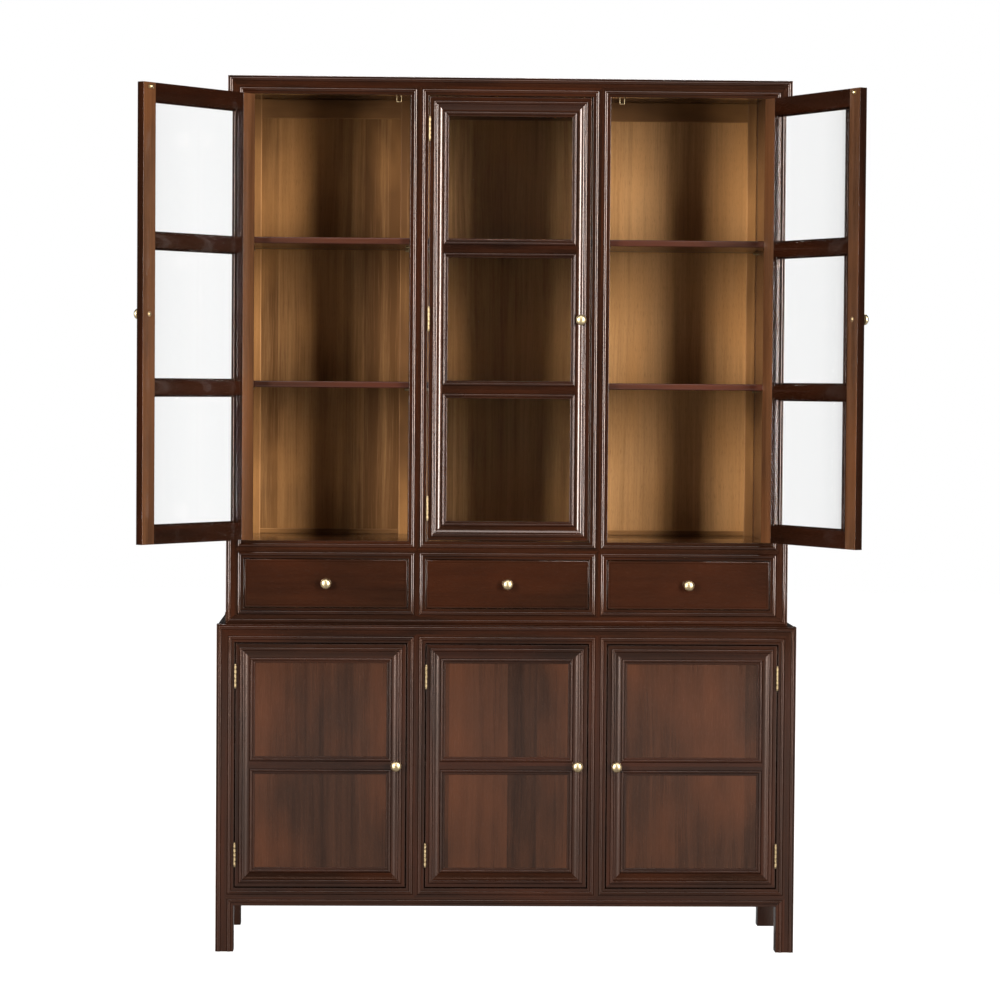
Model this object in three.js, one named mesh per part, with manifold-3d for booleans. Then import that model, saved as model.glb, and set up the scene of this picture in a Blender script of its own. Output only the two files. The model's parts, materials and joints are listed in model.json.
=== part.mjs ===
// China cabinet with glass doors: a low base with three panelled doors, and above it a hutch
// with three drawers and three glazed doors over shelved display bays.
//
// Millimetres, +Z up. The cabinet faces -Y and stands on Z = 0. It is drawn with X = 0 on its
// centre line and Y = 0 on the front of the base, then moved so that the origin lies under the
// middle of the box around the cabinet, with the two outer display doors standing open.

import * as THREE from 'three';
import { mergeVertices } from 'three/addons/utils/BufferGeometryUtils.js';
import Module from 'manifold-3d';

const wasm = await Module();
wasm.setup();

// ---- driving dimensions ------------------------------------------------------------------

const BASE_WIDTH = 1420;
const BASE_HEIGHT = 803;
const BASE_DEPTH = 445;
const TOTAL_HEIGHT = 2140;
const HUTCH_WIDTH = 1378;
const HUTCH_SETBACK = 18; // hutch front behind the base front
const MEMBER = 44; // width of every post and rail seen from the front
const RAIL_DEPTH = 30;
const BOTTOM_RAIL = 40; // the hutch's lowest rail is a little lower than the others
const LEG_CLEARANCE = 113; // floor to the underside of the base
const DRAWER_TOP = 964; // top of the drawer openings
const BEAD_RECESS = 2.5; // the flats lie this far behind the crowns of the beads
const BEAD_INSET = 10;
const BEAD_HALF_WIDTH = 4;
const PANEL = 20; // side panels, flush with the inner faces of the posts
const BOARD = 20; // top, deck and floors
const BACK_BOARD = 12;
const BACK_FACE = 420; // front face of the back boards
const SIDE_RECESS = 2; // side rails behind the outer faces of the posts
const SHELF_THICKNESS = 16;
const SHELF_FRONT = 52;
const SHELF_TOPS = { lower: 1398, upper: 1750 };
const BASE_SHELF_TOP = 466;
const FIT = 0.3; // clearance between pieces that touch
const DOOR_GAP = 2; // clearance around every door and drawer front
const DOOR_THICKNESS = 22;
const SASH_FRONT = 47; // width of a door member on its front face
const SASH_BACK = 42; // and on its back face
const GROOVE = 6; // depth of the groove that holds the glass or panel
const GLASS = 4;
const DOOR_PANEL = 6;
const GLAZING_BAR = 44;
const MID_RAIL = 44;
const LEAF_DEPTH = 13; // door face to the front of the glass or panel
const PIN_OUT = 3.8; // hinge pin in front of the door face
const PIN_IN = 2.5; // hinge pin beyond the edge of the post
const BARREL_RADIUS = 3.5;
const HINGE_LENGTH = 54;
const HUTCH_HINGES = [-463, 0, 463]; // from the middle of the door
const BASE_HINGES = [-219, 219];
const LEFT_DOOR_OPEN = 128.6; // degrees from closed, as the cabinet stands
const RIGHT_DOOR_OPEN = 117.6;
const KNOB_INSET = 23;
const DRAWER_DEPTH = 345;
const DRAWER_BOX_HEIGHT = 96;
const DRAWER_WALL = 12;
const DRAWER_BOTTOM = 6;
const DRAWER_SIDE_PLAY = 4;

// ---- worked-out places -------------------------------------------------------------------

const baseHalf = BASE_WIDTH / 2;
const hutchHalf = HUTCH_WIDTH / 2;
const hutchBay = (HUTCH_WIDTH - 4 * MEMBER) / 3;
const midPost = (hutchBay + MEMBER) / 2; // centre lines of the two middle posts
const hutchInner = hutchHalf - MEMBER;
const baseInner = baseHalf - MEMBER;
const hutchDoors = {
  bottom: BASE_HEIGHT + BOTTOM_RAIL, sill: DRAWER_TOP + MEMBER, top: TOTAL_HEIGHT - MEMBER,
};
const baseDoors = { sill: LEG_CLEARANCE + MEMBER, top: BASE_HEIGHT - MEMBER };
const hutchBays = [
  { side: 'left', x0: -hutchInner, x1: -midPost - MEMBER / 2, hand: 'left' },
  { side: 'middle', x0: -midPost + MEMBER / 2, x1: midPost - MEMBER / 2, hand: 'left' },
  { side: 'right', x0: midPost + MEMBER / 2, x1: hutchInner, hand: 'right' },
];
const baseBays = [
  { side: 'left', x0: -baseInner, x1: -midPost - MEMBER / 2, hand: 'left' },
  { side: 'middle', x0: -midPost + MEMBER / 2, x1: midPost - MEMBER / 2, hand: 'left' },
  { side: 'right', x0: midPost + MEMBER / 2, x1: baseInner, hand: 'right' },
];

// ---- materials ---------------------------------------------------------------------------

const wood = (color, roughness) => () => new THREE.MeshStandardMaterial({ color, roughness, metalness: 0 });
const frameWood = wood(0x4a2a20, 0.32);
const panelWood = wood(0x55352a, 0.38);
const backVeneer = wood(0x7a5a38, 0.5);
const shelfWood = wood(0x4f3122, 0.4);
const drawerWood = wood(0x9a7a52, 0.6);
const paneGlass = () => new THREE.MeshStandardMaterial({
  color: 0xf2f6f5, roughness: 0.04, metalness: 0, transparent: true, opacity: 0.15,
});
const knobBrass = () => new THREE.MeshStandardMaterial({ color: 0xd0a860, roughness: 0.28, metalness: 1 });

// ---- geometry helpers --------------------------------------------------------------------

const block = (x0, x1, y0, y1, z0, z1) => new THREE.BoxGeometry(x1 - x0, y1 - y0, z1 - z0)
  .translate((x0 + x1) / 2, (y0 + y1) / 2, (z0 + z1) / 2);

// Extrudes a flat outline. The axes say where the outline's x, its y and its depth point.
function extrude(shape, depth, xAxis, yAxis, depthAxis) {
  const geometry = new THREE.ExtrudeGeometry(shape, { depth, bevelEnabled: false });
  return geometry.applyMatrix4(new THREE.Matrix4().makeBasis(xAxis, yAxis, depthAxis));
}

const X = new THREE.Vector3(1, 0, 0);
const Y = new THREE.Vector3(0, 1, 0);
const Z = new THREE.Vector3(0, 0, 1);

const upright = (shape, z0, z1) => extrude(shape, z1 - z0, X, Y, Z).translate(0, 0, z0);
const alongX = (shape, x0, x1) => extrude(shape, x1 - x0, Y, Z, X).translate(x0, 0, 0);
const plate = (shape, yFront, yBack) => extrude(shape, yBack - yFront, X, Z, Y.clone().negate())
  .translate(0, yBack, 0);

function toSolid(geometry) {
  const bare = geometry.clone();
  bare.deleteAttribute('normal');
  bare.deleteAttribute('uv');
  const merged = mergeVertices(bare, 1e-4);
  const mesh = new wasm.Mesh({
    numProp: 3,
    vertProperties: new Float32Array(merged.attributes.position.array),
    triVerts: new Uint32Array(merged.index.array),
  });
  return new wasm.Manifold(mesh);
}

function toGeometry(solid) {
  const mesh = solid.getMesh();
  const geometry = new THREE.BufferGeometry();
  geometry.setAttribute('position', new THREE.BufferAttribute(mesh.vertProperties, 3));
  geometry.setIndex(new THREE.BufferAttribute(mesh.triVerts, 1));
  geometry.computeVertexNormals();
  return geometry;
}

const join = (...geometries) => toGeometry(
  geometries.map(toSolid).reduce((whole, piece) => whole.add(piece)),
);

function rectangle(x0, x1, y0, y1, Kind = THREE.Shape) {
  const outline = new Kind();
  outline.moveTo(x0, y0).lineTo(x1, y0).lineTo(x1, y1).lineTo(x0, y1).lineTo(x0, y0);
  return outline;
}

// A post's or rail's section, drawn from the point map: across runs over its width and back
// runs away from the front. Two round beads stand on a flat that lies behind their crowns.
function beadedSection(width, depth, map) {
  const shape = new THREE.Shape();
  const go = (across, back, first) => {
    const [px, py] = map(across, back);
    if (first) shape.moveTo(px, py);
    else shape.lineTo(px, py);
  };
  go(0, BEAD_RECESS, true);
  for (const centre of [BEAD_INSET, width - BEAD_INSET]) {
    for (let step = 0; step <= 4; step += 1) {
      const turn = Math.PI * (1 - step / 4);
      go(centre + BEAD_HALF_WIDTH * Math.cos(turn), BEAD_RECESS * (1 - Math.sin(turn)));
    }
  }
  go(width, BEAD_RECESS);
  go(width, depth);
  go(0, depth);
  shape.closePath();
  return shape;
}

const frontPost = (x0, yFront, z0, z1, depth = MEMBER) => upright(
  beadedSection(MEMBER, depth, (across, back) => [x0 + across, yFront + back]), z0, z1,
);
const frontRail = (x0, x1, yFront, z0, height) => alongX(
  beadedSection(height, RAIL_DEPTH, (across, back) => [yFront + back, z0 + across]), x0, x1,
);

// ---- hinges ------------------------------------------------------------------------------

// Three knuckles in a row: the outer two belong to the post and the middle one to the door.
// Each is a short barrel on the pin line, with the edge of its leaf let into the wood.
function knuckles(pinX, face, outward, middle, offsets, forDoor) {
  const length = HINGE_LENGTH / 3 - FIT;
  const leafNear = outward * (forDoor ? FIT / 2 : -PIN_IN / 3);
  const leafFar = outward * (forDoor ? PIN_IN + 1 : -PIN_IN - 2);
  const pieces = [];
  for (const offset of offsets) {
    for (const slot of forDoor ? [0] : [-1, 1]) {
      const z = middle + offset + slot * (HINGE_LENGTH / 3);
      const barrel = new THREE.CylinderGeometry(BARREL_RADIUS, BARREL_RADIUS, length, 10)
        .rotateX(Math.PI / 2).translate(pinX, face - PIN_OUT, z);
      const leaf = block(
        pinX + Math.min(leafNear, leafFar), pinX + Math.max(leafNear, leafFar),
        face - PIN_OUT, face + BEAD_RECESS + 2, z - length / 2, z + length / 2,
      );
      pieces.push(barrel, leaf);
    }
  }
  return pieces;
}

const pinLine = (bay) => (bay.hand === 'left' ? bay.x0 + PIN_IN : bay.x1 - PIN_IN);
const outwards = (bay) => (bay.hand === 'left' ? 1 : -1);
const middleOf = (opening) => (opening.sill + opening.top) / 2;
const postKnuckles = (bay, face, opening, offsets) => knuckles(
  pinLine(bay), face, outwards(bay), middleOf(opening), offsets, false,
);
const doorKnuckles = (bay, face, opening, offsets) => knuckles(
  pinLine(bay), face, outwards(bay), middleOf(opening), offsets, true,
);

// ---- the scene graph ---------------------------------------------------------------------

const cabinet = new THREE.Group();

function add(name, geometry, material, parent = cabinet) {
  const mesh = new THREE.Mesh(geometry, material());
  mesh.name = name;
  parent.add(mesh);
}

// ---- base case ---------------------------------------------------------------------------

function buildBase() {
  const rear = BASE_DEPTH - MEMBER;
  const [leftBay, middleBay, rightBay] = baseBays;
  add('base_leg_post_front_left', join(
    frontPost(-baseHalf, 0, 0, BASE_HEIGHT), ...postKnuckles(leftBay, 0, baseDoors, BASE_HINGES),
  ), frameWood);
  add('base_leg_post_front_right', join(
    frontPost(baseInner, 0, 0, BASE_HEIGHT), ...postKnuckles(rightBay, 0, baseDoors, BASE_HINGES),
  ), frameWood);
  add('base_leg_post_rear_left', block(
    -baseHalf, -baseInner, rear, BASE_DEPTH, 0, BASE_HEIGHT,
  ), frameWood);
  add('base_leg_post_rear_right', block(
    baseInner, baseHalf, rear, BASE_DEPTH, 0, BASE_HEIGHT,
  ), frameWood);
  const midLow = baseDoors.sill + FIT;
  const midHigh = baseDoors.top - FIT;
  add('base_mid_post_left', join(
    frontPost(-midPost - MEMBER / 2, 0, midLow, midHigh),
    ...postKnuckles(middleBay, 0, baseDoors, BASE_HINGES),
  ), frameWood);
  add('base_mid_post_right', frontPost(midPost - MEMBER / 2, 0, midLow, midHigh), frameWood);
  const railEnd = baseInner - FIT;
  add('base_top_rail', frontRail(-railEnd, railEnd, 0, baseDoors.top, MEMBER), frameWood);
  add('base_bottom_rail', frontRail(-railEnd, railEnd, 0, LEG_CLEARANCE, MEMBER), frameWood);

  const sideFront = MEMBER + FIT;
  const sideRear = rear - FIT;
  for (const [side, sign] of [['left', -1], ['right', 1]]) {
    const span = (near, far, z0, z1) => block(
      Math.min(sign * near, sign * far), Math.max(sign * near, sign * far), sideFront, sideRear, z0, z1,
    );
    add(`base_side_${side}`, join(
      span(baseInner, baseInner + PANEL, LEG_CLEARANCE, BASE_HEIGHT),
      span(baseInner, baseHalf - SIDE_RECESS, LEG_CLEARANCE, baseDoors.sill),
      span(baseInner, baseHalf - SIDE_RECESS, baseDoors.top, BASE_HEIGHT),
    ), panelWood);
  }
  const boardFront = RAIL_DEPTH + FIT;
  const frontEdge = MEMBER + FIT;
  const deck = BASE_HEIGHT - BOARD;
  const floor = baseDoors.sill - BOARD;
  const boardEnd = baseInner - FIT;
  add('base_deck', block(-boardEnd, boardEnd, boardFront, BASE_DEPTH, deck, BASE_HEIGHT), frameWood);
  add('base_floor', block(
    -boardEnd, boardEnd, boardFront, BACK_FACE - FIT, floor, baseDoors.sill,
  ), panelWood);
  add('base_back', block(
    -boardEnd, boardEnd, BACK_FACE, BACK_FACE + BACK_BOARD, LEG_CLEARANCE, deck - FIT,
  ), panelWood);
  add('base_shelf', block(
    -boardEnd, boardEnd, frontEdge + SHELF_THICKNESS, BACK_FACE - 1,
    BASE_SHELF_TOP - SHELF_THICKNESS, BASE_SHELF_TOP,
  ), shelfWood);
}

// ---- hutch case --------------------------------------------------------------------------

function buildHutch() {
  const front = HUTCH_SETBACK;
  const low = BASE_HEIGHT + FIT;
  const rear = BASE_DEPTH - MEMBER;
  const [leftBay, middleBay, rightBay] = hutchBays;
  add('hutch_post_left', join(
    frontPost(-hutchHalf, front, low, TOTAL_HEIGHT),
    ...postKnuckles(leftBay, front, hutchDoors, HUTCH_HINGES),
  ), frameWood);
  add('hutch_post_right', join(
    frontPost(hutchInner, front, low, TOTAL_HEIGHT),
    ...postKnuckles(rightBay, front, hutchDoors, HUTCH_HINGES),
  ), frameWood);
  const partitionDepth = BACK_FACE - FIT - front;
  for (const [side, sign] of [['left', -1], ['right', 1]]) {
    const edge = sign * midPost - MEMBER / 2;
    const hung = side === 'left' ? postKnuckles(middleBay, front, hutchDoors, HUTCH_HINGES) : [];
    add(`display_partition_${side}`, join(
      frontPost(edge, front, hutchDoors.sill + FIT, hutchDoors.top - FIT, partitionDepth), ...hung,
    ), frameWood);
    add(`drawer_divider_${side}`, frontPost(
      edge, front, hutchDoors.bottom + FIT, DRAWER_TOP - FIT, partitionDepth,
    ), frameWood);
    const span = (near, far, y0, y1, z0, z1) => block(
      Math.min(sign * near, sign * far), Math.max(sign * near, sign * far), y0, y1, z0, z1,
    );
    const sideFront = front + MEMBER + FIT;
    add(`hutch_side_${side}`, join(
      span(hutchInner, hutchHalf, rear, BASE_DEPTH, low, TOTAL_HEIGHT),
      span(hutchInner, hutchInner + PANEL, sideFront, rear + 1, low, TOTAL_HEIGHT),
      span(hutchInner, hutchHalf - SIDE_RECESS, sideFront, rear + 1, low, hutchDoors.bottom),
      span(hutchInner, hutchHalf - SIDE_RECESS, sideFront, rear + 1, hutchDoors.top, TOTAL_HEIGHT),
    ), panelWood);
  }
  const end = hutchInner - FIT;
  const boardFront = front + RAIL_DEPTH;
  const boardRear = BACK_FACE - FIT;
  add('hutch_top_rail', frontRail(-end, end, front, hutchDoors.top, MEMBER), frameWood);
  add('hutch_top_board', block(
    -end, end, boardFront + FIT, BASE_DEPTH, hutchDoors.top + FIT + BOARD, TOTAL_HEIGHT,
  ), frameWood);
  add('display_floor', join(
    frontRail(-end, end, front, DRAWER_TOP, MEMBER),
    block(-end, end, boardFront - 1, boardRear, hutchDoors.sill - BOARD, hutchDoors.sill),
  ), frameWood);
  add('drawer_deck', join(
    frontRail(-end, end, front, low, BOTTOM_RAIL - FIT),
    block(-end, end, boardFront - 1, boardRear, hutchDoors.bottom - BOARD, hutchDoors.bottom),
  ), frameWood);
  add('hutch_back', block(
    -end, end, BACK_FACE, BACK_FACE + BACK_BOARD, low, hutchDoors.top + BOARD,
  ), backVeneer);
  for (const bay of hutchBays) {
    for (const [level, top] of Object.entries(SHELF_TOPS)) {
      add(`shelf_${bay.side}_${level}`, block(
        bay.x0 + 1, bay.x1 - 1, SHELF_FRONT, BACK_FACE - 1, top - SHELF_THICKNESS, top,
      ), shelfWood);
    }
  }
}

// ---- doors -------------------------------------------------------------------------------

// Heights of the clear openings between a door's cross members, counted from the bottom.
function lights(bottom, top, sash, barWidth, count) {
  const low = bottom + sash;
  const clear = (top - sash - low - (count - 1) * barWidth) / count;
  return Array.from({ length: count }, (_, i) => {
    const z0 = low + i * (clear + barWidth);
    return [z0, z0 + clear];
  });
}

// The frame is three layers of one grooved sash: the front face, a wider ring that leaves room
// for the sheet, and the back face. It is drawn closed, in the plane of the case front.
function sash(x0, x1, z0, z1, face, sheet, barWidth, count) {
  const layer = (yFront, yBack, width, bar, openings) => {
    const shape = rectangle(x0, x1, z0, z1);
    for (const [low, high] of lights(z0, z1, width, bar, openings)) {
      shape.holes.push(rectangle(x0 + width, x1 - width, low, high, THREE.Path));
    }
    return plate(shape, yFront, yBack);
  };
  const grooveFront = face + LEAF_DEPTH;
  const grooveBack = grooveFront + sheet + 2 * FIT;
  const backBar = barWidth - 2 * (SASH_FRONT - SASH_BACK);
  return [
    layer(face, grooveFront, SASH_FRONT, barWidth, count),
    layer(grooveFront, grooveBack, SASH_FRONT - GROOVE, 0, 1),
    layer(grooveBack, face + DOOR_THICKNESS, SASH_BACK, backBar, count),
  ];
}

// A round knob on a stem and a stepped rose, turned about an axis that points out of the face.
function knob() {
  const profile = [
    [0, 0], [9, 0], [9, 1.5], [5.5, 3], [4, 6], [4, 9], [8, 11.5], [12, 14.5],
    [13, 18], [12, 21.5], [8, 24.5], [0, 26],
  ].map(([radius, out]) => new THREE.Vector2(radius, out));
  return new THREE.LatheGeometry(profile, 12).rotateX(Math.PI);
}

function hangDoor(row, bay, face, opening, hingeOffsets, sheet, barWidth, count, openAngle) {
  const pin = new THREE.Vector3(pinLine(bay), face - PIN_OUT, 0);
  const door = new THREE.Group();
  door.position.copy(pin);
  door.rotation.z = -outwards(bay) * THREE.MathUtils.degToRad(openAngle);
  const swing = new THREE.Group();
  swing.position.copy(pin).negate();
  door.add(swing);
  cabinet.add(door);

  const x0 = bay.x0 + DOOR_GAP;
  const x1 = bay.x1 - DOOR_GAP;
  const z0 = opening.sill + DOOR_GAP;
  const z1 = opening.top - DOOR_GAP;
  add(`${row}_door_${bay.side}_frame`, join(
    ...sash(x0, x1, z0, z1, face, sheet, barWidth, count),
    ...doorKnuckles(bay, face, opening, hingeOffsets),
  ), frameWood, swing);
  const margin = SASH_FRONT - GROOVE + FIT;
  const sheetName = row === 'hutch' ? 'glass' : 'panel';
  add(`${row}_door_${bay.side}_${sheetName}`, block(
    x0 + margin, x1 - margin, face + LEAF_DEPTH + FIT, face + LEAF_DEPTH + FIT + sheet,
    z0 + margin, z1 - margin,
  ), row === 'hutch' ? paneGlass : panelWood, swing);
  const knobX = bay.hand === 'left' ? x1 - KNOB_INSET : x0 + KNOB_INSET;
  add(`${row}_door_${bay.side}_knob`,
    knob().translate(knobX, face - FIT, middleOf(opening)), knobBrass, swing);
}

function buildDoors() {
  const openAngles = { left: LEFT_DOOR_OPEN, middle: 0, right: RIGHT_DOOR_OPEN };
  for (const bay of hutchBays) {
    hangDoor('hutch', bay, HUTCH_SETBACK, hutchDoors, HUTCH_HINGES, GLASS, GLAZING_BAR, 3,
      openAngles[bay.side]);
  }
  for (const bay of baseBays) {
    hangDoor('base', bay, 0, baseDoors, BASE_HINGES, DOOR_PANEL, MID_RAIL, 2, 0);
  }
}

// ---- drawers -----------------------------------------------------------------------------

function buildDrawers() {
  const z0 = hutchDoors.bottom + DOOR_GAP;
  const z1 = DRAWER_TOP - DOOR_GAP;
  for (const bay of hutchBays) {
    const frontBack = HUTCH_SETBACK + DOOR_THICKNESS;
    add(`drawer_${bay.side}_front`, block(
      bay.x0 + DOOR_GAP, bay.x1 - DOOR_GAP, HUTCH_SETBACK, frontBack, z0, z1,
    ), frameWood);
    const outer = { x0: bay.x0 + DRAWER_SIDE_PLAY, x1: bay.x1 - DRAWER_SIDE_PLAY };
    const y0 = frontBack + FIT;
    const y1 = y0 + DRAWER_DEPTH;
    const low = hutchDoors.bottom + 1;
    const high = low + DRAWER_BOX_HEIGHT;
    const wall = DRAWER_WALL;
    const ring = rectangle(outer.x0, outer.x1, y0, y1);
    ring.holes.push(rectangle(outer.x0 + wall, outer.x1 - wall, y0 + wall, y1 - wall, THREE.Path));
    add(`drawer_${bay.side}_box`, join(
      upright(ring, low, high),
      block(outer.x0 + 1, outer.x1 - 1, y0 + 1, y1 - 1, low, low + DRAWER_BOTTOM),
    ), drawerWood);
    const centre = (bay.x0 + bay.x1) / 2;
    add(`drawer_${bay.side}_knob`,
      knob().translate(centre, HUTCH_SETBACK - FIT, (z0 + z1) / 2), knobBrass);
  }
}

buildBase();
buildHutch();
buildDoors();
buildDrawers();

// The origin goes under the middle of the box around the cabinet, to the nearest millimetre.
const middle = new THREE.Box3().setFromObject(cabinet).getCenter(new THREE.Vector3()).round();
cabinet.position.set(-middle.x, -middle.y, 0);

export default cabinet;
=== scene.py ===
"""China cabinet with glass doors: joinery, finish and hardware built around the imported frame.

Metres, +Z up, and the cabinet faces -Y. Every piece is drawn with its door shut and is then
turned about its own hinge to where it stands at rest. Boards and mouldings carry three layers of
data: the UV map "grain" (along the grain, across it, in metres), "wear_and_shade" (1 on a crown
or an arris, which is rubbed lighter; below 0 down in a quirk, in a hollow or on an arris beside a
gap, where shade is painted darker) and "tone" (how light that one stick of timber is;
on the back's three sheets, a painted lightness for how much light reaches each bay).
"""

import json
import math
from typing import NamedTuple

import bpy
import numpy as np
from mathutils import Matrix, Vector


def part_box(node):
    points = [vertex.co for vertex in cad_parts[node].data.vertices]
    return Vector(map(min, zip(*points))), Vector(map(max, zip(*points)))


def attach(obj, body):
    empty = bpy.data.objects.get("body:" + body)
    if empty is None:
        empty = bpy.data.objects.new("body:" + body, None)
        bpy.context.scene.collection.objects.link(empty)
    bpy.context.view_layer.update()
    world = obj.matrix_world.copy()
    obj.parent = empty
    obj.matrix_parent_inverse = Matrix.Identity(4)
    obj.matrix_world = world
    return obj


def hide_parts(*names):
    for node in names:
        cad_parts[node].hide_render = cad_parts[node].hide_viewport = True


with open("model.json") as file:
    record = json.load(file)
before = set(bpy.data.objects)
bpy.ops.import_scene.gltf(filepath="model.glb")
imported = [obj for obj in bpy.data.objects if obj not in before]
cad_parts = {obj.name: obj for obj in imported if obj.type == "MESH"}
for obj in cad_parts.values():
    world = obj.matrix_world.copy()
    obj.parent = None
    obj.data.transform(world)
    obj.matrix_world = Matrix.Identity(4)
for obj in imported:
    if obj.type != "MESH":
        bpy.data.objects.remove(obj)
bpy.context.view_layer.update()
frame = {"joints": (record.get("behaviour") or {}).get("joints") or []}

# ---- directions and small sizes ----

RIGHT, INTO, UP = np.eye(3)
LEFT, OUT, DOWN = -RIGHT, -INTO, -UP
TOUCH = 0.0003  # the clearance the frame leaves between pieces that touch
SLIVER = 2e-6  # keeps two points of a section from falling on one spot

BEAD_RISE = 0.0025  # crown of a bead above the flat beside it
BEAD_HALF = 0.0042
BEAD_INSET = 0.0115  # from an opening's edge to the bead's crown
RIM_INSET = 0.0078  # the same, from the outer edge of the case
QUIRK = 0.0005
EASE = 0.0009  # softened arris
# painted shade in a door member's hollow, as wear_and_shade below 0
HOLLOW_SHADE = -0.4
GAP_SHADE = -0.7  # painted shade on an arris beside a gap, as wear_and_shade below 0

DOOR_GAP = 0.0028
DOOR_THICKNESS = 0.022
SASH_OUTER = 0.034  # outer part of a door member, with the outer bead and the hollow
SASH_INNER = 0.013  # inner part, which runs round each light
SASH_BACK = 0.042
SASH_FLAT = 0.0028  # depth of the sunk flat at a door's edge
LIGHT_FLAT = 0.0104  # depth of the flat round each light
REBATE_FRONT = 0.013
REBATE_OVERLAP = 0.006
BAR = 0.044
PIN_OUT = 0.0038
PIN_IN = 0.0025
HINGE_LENGTH = 0.054
HINGE_RADIUS = 0.0032
KNOB_INSET = 0.023
KNOB_SEAT = 0.0042  # depth of a door's face under its knob
CATCH_INSET = 0.026
CATCH_DROP = 0.010  # from a door's top edge to its catch
DULL = 0.1  # polish of brass that nobody's hand rubs
LEG_EASE = 0.0015
THIN_EASE = 0.0003  # arris of brass strip
GLASS = 0.004
BOARDING = 0.006  # thickness of a base door's panels
HUTCH_HINGES = (-0.463, 0.0, 0.463)  # hinge heights, from the middle of a door
BASE_HINGES = (-0.219, 0.219)

# Turned shapes are rows of (radius, distance out).
KNOB_ROSE = [(0.0092, 0.0), (0.0092, 0.0009), (0.0086, 0.0015), (0.0064, 0.0017)]
KNOB_NECK = [(0.0056, 0.0023), (0.0046, 0.0036), (0.004, 0.006), (0.004, 0.008), (0.0046, 0.0098)]
BALL_RADIUS, BALL_HALF, BALL_OUT = 0.013, 0.0078, 0.0178
WASHER = [(0.0062, 0), (0.0062, 0.0007)]
SCREW_HEAD = WASHER + [(0.004, 0.001), (0.004, 0.0018), (0.003, 0.0026), (0.0008, 0.003)]
HINGE_TIP = [(0.0022, 0), (0.0028, 0.0008), (0.0026, 0.0022), (0.0014, 0.003), (0.0003, 0.0033)]
CATCH_BALL = [(0.0034, 0.0), (0.0034, 0.002), (0.0026, 0.0036), (0.0009, 0.0045)]
SHELF_PIN = [(0.0045, 0), (0.0045, 0.0012), (0.003, 0.0016), (0.003, 0.009), (0.0022, 0.0098)]

# ---- the frame's own layout ----


class Rect(NamedTuple):
    """An upright rectangle seen from the front."""

    x0: float
    x1: float
    z0: float
    z1: float

    def inset(self, by):
        return Rect(self.x0 + by, self.x1 - by, self.z0 + by, self.z1 - by)


def span(node):
    """The lowest and highest corner of a frame node, as arrays."""
    low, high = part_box(node)
    return np.array(low), np.array(high)


def bays(row):
    """Left and right edge of each bay of a row: the case sides and the two dividers bound them."""
    edges = [span(f"{row}_side_left")[1][0]]
    for side in SIDES:
        low, high = span(f"drawer_divider_{side}")
        edges += [low[0], high[0]]
    edges.append(span(f"{row}_side_right")[0][0])
    return {"left": edges[0:2], "middle": edges[2:4], "right": edges[4:6]}


SIDES = ("left", "right")
BAYS = ("left", "middle", "right")
HUNG_ON = {"left": "left", "middle": "left", "right": "right"}
OPPOSITE = {"left": "right", "right": "left"}
rail_low, rail_high = span("hutch_top_rail")
BASE_FRONT, HUTCH_FRONT = span("base_top_rail")[0][1], rail_low[1]
TOP, MEMBER = rail_high[2], rail_high[2] - rail_low[2]
HALF = MEMBER / 2
RAIL_BACK = rail_high[1] - HUTCH_FRONT
POST_BACK = MEMBER
PARTITION_BACK = span("drawer_divider_left")[1][1] - HUTCH_FRONT
BASE_X = (span("base_leg_post_rear_left")[0][0], span("base_leg_post_rear_right")[1][0])
HUTCH_X = (span("hutch_side_left")[0][0], span("hutch_side_right")[1][0])
BASE_TOP = span("base_top_rail")[1][2]
HUTCH_FOOT, DRAWER_SILL = (corner[2] for corner in span("drawer_deck"))
WAIST = [corner[2] for corner in span("display_floor")]
BASE_DOORS_Z = (span("base_bottom_rail")[1][2], span("base_top_rail")[0][2])
UNDERSIDE = span("base_bottom_rail")[0][2]

base_bays, hutch_bays = bays("base"), bays("hutch")
base_lights = {bay: Rect(*base_bays[bay], *BASE_DOORS_Z) for bay in BAYS}
drawer_mouths = {bay: Rect(*hutch_bays[bay], DRAWER_SILL, WAIST[0]) for bay in BAYS}
displays = {bay: Rect(*hutch_bays[bay], WAIST[1], TOP - MEMBER) for bay in BAYS}
base_rim = Rect(*BASE_X, 0.0, BASE_TOP)
hutch_rim = Rect(*HUTCH_X, HUTCH_FOOT, TOP)
under_opening = Rect(base_bays["left"][0], base_bays["right"][1], 0.0, UNDERSIDE)
FOOT_HALF = (DRAWER_SILL - HUTCH_FOOT) / 2

# ---- sections ----
# A run is rows of (across, depth behind the front plane, wear). A section adds the depth of its
# back, so a stick is a row of upright slices between its front and its back.


def level(start, end, depth, wear_and_shade=0.0):
    """A flat between two places across the section."""
    return np.array([[start, depth, wear_and_shade], [end, depth, wear_and_shade]])


def bead(centre, half, depth, rise, steps=12):
    """Half an ellipse: centre + half cos t across, depth - rise sin t, for t from pi down to 0."""
    turn = np.linspace(math.pi, 0, steps + 1)
    across = centre + half * np.cos(turn)
    return np.column_stack([across, depth - rise * np.sin(turn), np.sin(turn) ** 3])


def ease(start, depth, radius=EASE, steps=3, wear_and_shade=1.0):
    """A softened arris: a quarter circle that ends radius inside the edge, level with the face."""
    turn = np.linspace(0, math.pi / 2, steps + 1)
    across, down = radius * (1 - np.cos(turn)), radius * (1 - np.sin(turn))
    return np.column_stack([start + across, depth + down, np.full(steps + 1, wear_and_shade)])


def hollow(start, start_depth, end, end_depth, sag, steps=8):
    """A straight fall from start to end, pushed back by sag sin(pi t), with shade painted into it,
    darkest at its middle.
    """
    t = np.linspace(0, 1, steps + 1)
    bow = np.sin(math.pi * t)
    depth = start_depth + (end_depth - start_depth) * t + sag * bow
    return np.column_stack([start + (end - start) * t, depth, HOLLOW_SHADE * bow])


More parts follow.
